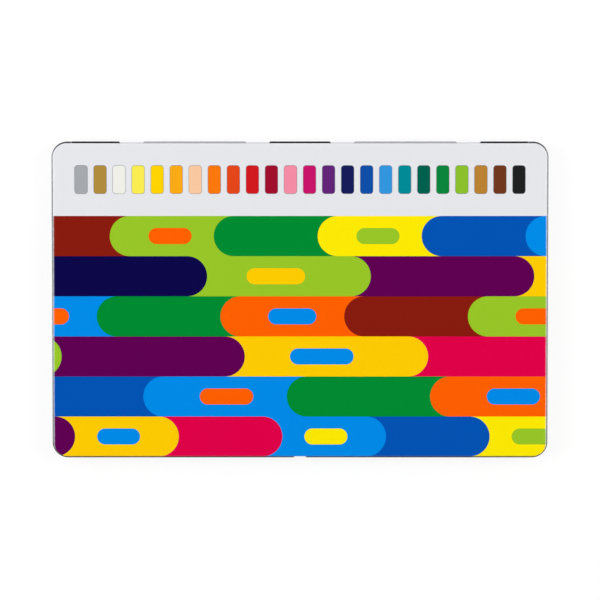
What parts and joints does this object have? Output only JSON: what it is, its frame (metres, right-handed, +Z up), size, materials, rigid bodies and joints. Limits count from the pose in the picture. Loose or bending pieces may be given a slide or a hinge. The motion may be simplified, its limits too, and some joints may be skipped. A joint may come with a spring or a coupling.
{
  "type": "colored pencil box",
  "caption": "Flat hinged tinplate box with a printed lid, holding a row of colour sticks in a grooved tray, an eraser and a sharpener.",
  "frame": {"origin": "middle of the closed tin's own box, on the table", "axes": "+X to the right along the long side, +Y towards the hinge, +Z up"},
  "size_m": [0.2252, 0.1436, 0.012],
  "materials": {
    "printed_tin": "glossy varnished print on tinplate",
    "plain_tin": "bare lacquered tinplate",
    "hinge_steel": "drawn steel wire",
    "tray_plastic": "formed white plastic sheet",
    "colour_silver": "smooth moulded colour, slight wax sheen",
    "colour_gold": "smooth moulded colour, slight wax sheen",
    "colour_white": "smooth moulded colour, slight wax sheen",
    "colour_lemon": "smooth moulded colour, slight wax sheen",
    "colour_yellow": "smooth moulded colour, slight wax sheen",
    "colour_amber": "smooth moulded colour, slight wax sheen",
    "colour_pale_orange": "smooth moulded colour, slight wax sheen",
    "colour_orange": "smooth moulded colour, slight wax sheen",
    "colour_vermilion": "smooth moulded colour, slight wax sheen",
    "colour_red": "smooth moulded colour, slight wax sheen",
    "colour_crimson": "smooth moulded colour, slight wax sheen",
    "colour_pink": "smooth moulded colour, slight wax sheen",
    "colour_magenta": "smooth moulded colour, slight wax sheen",
    "colour_violet": "smooth moulded colour, slight wax sheen",
    "colour_navy": "smooth moulded colour, slight wax sheen",
    "colour_blue": "smooth moulded colour, slight wax sheen",
    "colour_sky_blue": "smooth moulded colour, slight wax sheen",
    "colour_turquoise": "smooth moulded colour, slight wax sheen",
    "colour_viridian": "smooth moulded colour, slight wax sheen",
    "colour_green": "smooth moulded colour, slight wax sheen",
    "colour_yellow_green": "smooth moulded colour, slight wax sheen",
    "colour_ochre": "smooth moulded colour, slight wax sheen",
    "colour_brown": "smooth moulded colour, slight wax sheen",
    "colour_black": "smooth moulded colour, slight wax sheen",
    "eraser_vinyl": "soft white vinyl",
    "sleeve_card": "printed thin card",
    "sharpener_plastic": "moulded, slightly glossy",
    "blade_steel": "ground steel",
    "screw_steel": "plated steel"
  },
  "bodies": {
    "base": {"base_shell": "plain_tin", "hinge_wire": "hinge_steel", "stick_tray": "tray_plastic", "stick_01_silver": "colour_silver", "stick_02_gold": "colour_gold", "stick_03_white": "colour_white", "stick_04_lemon": "colour_lemon", "stick_05_yellow": "colour_yellow", "stick_06_amber": "colour_amber", "stick_07_pale_orange": "colour_pale_orange", "stick_08_orange": "colour_orange", "stick_09_vermilion": "colour_vermilion", "stick_10_red": "colour_red", "stick_11_crimson": "colour_crimson", "stick_12_pink": "colour_pink", "stick_13_magenta": "colour_magenta", "stick_14_violet": "colour_violet", "stick_15_navy": "colour_navy", "stick_16_blue": "colour_blue", "stick_17_sky_blue": "colour_sky_blue", "stick_18_turquoise": "colour_turquoise", "stick_19_viridian": "colour_viridian", "stick_20_green": "colour_green", "stick_21_yellow_green": "colour_yellow_green", "stick_22_ochre": "colour_ochre", "stick_23_brown": "colour_brown", "stick_24_black": "colour_black", "eraser_block": "eraser_vinyl", "sharpener_body": "sharpener_plastic", "sharpener_blade": "blade_steel", "blade_screw": "screw_steel"},
    "lid": {"lid_shell": "printed_tin"},
    "sleeve": {"eraser_sleeve": "sleeve_card"}
  },
  "joints": [
    {"name": "lid_hinge", "type": "hinge", "parent": "base", "child": "lid", "pos_m": [0, 0.07086, 0.00795], "axis": [-1, 0, 0], "range_deg": [0, 180]},
    {"name": "sleeve_slide", "type": "slide", "parent": "base", "child": "sleeve", "axis": [1, 0, 0], "range_m": [0, 0.008]}
  ]
}
